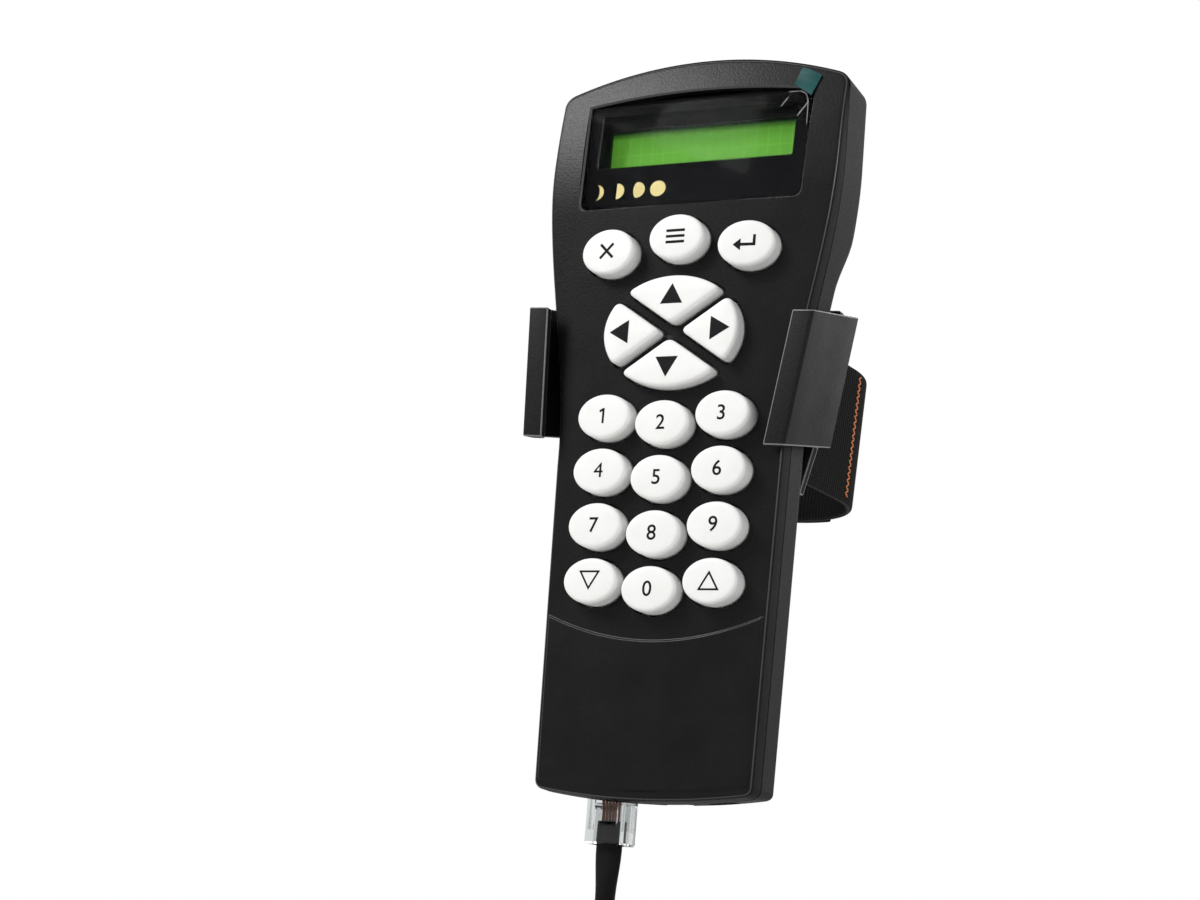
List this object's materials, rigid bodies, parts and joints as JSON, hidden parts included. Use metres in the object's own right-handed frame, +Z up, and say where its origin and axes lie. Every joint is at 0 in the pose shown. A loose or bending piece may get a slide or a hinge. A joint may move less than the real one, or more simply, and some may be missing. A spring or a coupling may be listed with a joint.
{
  "type": "telescope hand controller",
  "caption": "Telescope hand controller with green display and rubber keys, held in a bent-sheet cradle that a woven strap ties to a tripod leg; its plug-in cable is wound in a tied coil.",
  "frame": {"origin": "on the rear face of the cradle's back plate, near its middle, where the plate rests on the leg", "axes": "+Z up along the controller's length towards its display, +Y backwards out of the back plate, so the keys face -Y"},
  "size_m": [0.0808, 0.0868, 0.2868],
  "materials": {
    "shell": "fine-textured black",
    "keys": "matt white",
    "window": "clear with a black printed border",
    "film": "clear",
    "tab": "green-blue",
    "bezel": "black",
    "display": "green",
    "board": "green solder mask",
    "chip": "black",
    "screw": "plain",
    "plug": "clear",
    "cable": "satin black",
    "webbing": "ribbed black webbing",
    "sheet": "satin black"
  },
  "bodies": {
    "holder": {"cradle": "sheet", "strap": "webbing", "strap_flap": "webbing"},
    "controller": {"front_shell": "shell", "rear_shell": "shell", "cable_jack": "shell", "data_jack": "shell", "power_jack": "shell", "keypad_mat": "keys", "display_window": "window", "window_film": "film", "film_tab": "tab", "display_bezel": "bezel", "display_glass": "display", "display_board": "board", "main_board": "board", "pin_strip": "chip", "processor_chip": "chip", "case_screw_1": "screw", "case_screw_2": "screw", "case_screw_3": "screw", "case_screw_4": "screw", "cable_plug": "plug", "far_plug": "plug", "cable_sheath": "cable", "cable_lead": "cable", "cable_coil": "cable", "cable_tail": "cable", "cable_tie": "webbing"},
    "button_1": {"key_1": "keys"},
    "button_2": {"key_2": "keys"},
    "button_3": {"key_3": "keys"},
    "button_4": {"key_4": "keys"},
    "button_5": {"key_5": "keys"},
    "button_6": {"key_6": "keys"},
    "button_7": {"key_7": "keys"},
    "button_8": {"key_8": "keys"},
    "button_9": {"key_9": "keys"},
    "button_0": {"key_0": "keys"},
    "button_scroll_down": {"key_scroll_down": "keys"},
    "button_scroll_up": {"key_scroll_up": "keys"},
    "button_back": {"key_back": "keys"},
    "button_menu": {"key_menu": "keys"},
    "button_enter": {"key_enter": "keys"},
    "button_up": {"key_up": "keys"},
    "button_down": {"key_down": "keys"},
    "button_left": {"key_left": "keys"},
    "button_right": {"key_right": "keys"}
  },
  "joints": [
    {"name": "controller_lift", "type": "slide", "parent": "holder", "child": "controller", "axis": [0, 0, 1], "range_m": [0, 0.06]},
    {"name": "press_1", "type": "slide", "parent": "controller", "child": "button_1", "axis": [0, 1, 0], "range_m": [0, 0.0012], "stiffness_N_per_m": 400, "springref_m": -0.0005},
    {"name": "press_2", "type": "slide", "parent": "controller", "child": "button_2", "axis": [0, 1, 0], "range_m": [0, 0.0012], "stiffness_N_per_m": 400, "springref_m": -0.0005},
    {"name": "press_3", "type": "slide", "parent": "controller", "child": "button_3", "axis": [0, 1, 0], "range_m": [0, 0.0012], "stiffness_N_per_m": 400, "springref_m": -0.0005},
    {"name": "press_4", "type": "slide", "parent": "controller", "child": "button_4", "axis": [0, 1, 0], "range_m": [0, 0.0012], "stiffness_N_per_m": 400, "springref_m": -0.0005},
    {"name": "press_5", "type": "slide", "parent": "controller", "child": "button_5", "axis": [0, 1, 0], "range_m": [0, 0.0012], "stiffness_N_per_m": 400, "springref_m": -0.0005},
    {"name": "press_6", "type": "slide", "parent": "controller", "child": "button_6", "axis": [0, 1, 0], "range_m": [0, 0.0012], "stiffness_N_per_m": 400, "springref_m": -0.0005},
    {"name": "press_7", "type": "slide", "parent": "controller", "child": "button_7", "axis": [0, 1, 0], "range_m": [0, 0.0012], "stiffness_N_per_m": 400, "springref_m": -0.0005},
    {"name": "press_8", "type": "slide", "parent": "controller", "child": "button_8", "axis": [0, 1, 0], "range_m": [0, 0.0012], "stiffness_N_per_m": 400, "springref_m": -0.0005},
    {"name": "press_9", "type": "slide", "parent": "controller", "child": "button_9", "axis": [0, 1, 0], "range_m": [0, 0.0012], "stiffness_N_per_m": 400, "springref_m": -0.0005},
    {"name": "press_0", "type": "slide", "parent": "controller", "child": "button_0", "axis": [0, 1, 0], "range_m": [0, 0.0012], "stiffness_N_per_m": 400, "springref_m": -0.0005},
    {"name": "press_scroll_down", "type": "slide", "parent": "controller", "child": "button_scroll_down", "axis": [0, 1, 0], "range_m": [0, 0.0012], "stiffness_N_per_m": 400, "springref_m": -0.0005},
    {"name": "press_scroll_up", "type": "slide", "parent": "controller", "child": "button_scroll_up", "axis": [0, 1, 0], "range_m": [0, 0.0012], "stiffness_N_per_m": 400, "springref_m": -0.0005},
    {"name": "press_back", "type": "slide", "parent": "controller", "child": "button_back", "axis": [0, 1, 0], "range_m": [0, 0.0012], "stiffness_N_per_m": 400, "springref_m": -0.0005},
    {"name": "press_menu", "type": "slide", "parent": "controller", "child": "button_menu", "axis": [0, 1, 0], "range_m": [0, 0.0012], "stiffness_N_per_m": 400, "springref_m": -0.0005},
    {"name": "press_enter", "type": "slide", "parent": "controller", "child": "button_enter", "axis": [0, 1, 0], "range_m": [0, 0.0012], "stiffness_N_per_m": 400, "springref_m": -0.0005},
    {"name": "press_up", "type": "slide", "parent": "controller", "child": "button_up", "axis": [0, 1, 0], "range_m": [0, 0.0012], "stiffness_N_per_m": 400, "springref_m": -0.0005},
    {"name": "press_down", "type": "slide", "parent": "controller", "child": "button_down", "axis": [0, 1, 0], "range_m": [0, 0.0012], "stiffness_N_per_m": 400, "springref_m": -0.0005},
    {"name": "press_left", "type": "slide", "parent": "controller", "child": "button_left", "axis": [0, 1, 0], "range_m": [0, 0.0012], "stiffness_N_per_m": 400, "springref_m": -0.0005},
    {"name": "press_right", "type": "slide", "parent": "controller", "child": "button_right", "axis": [0, 1, 0], "range_m": [0, 0.0012], "stiffness_N_per_m": 400, "springref_m": -0.0005}
  ]
}
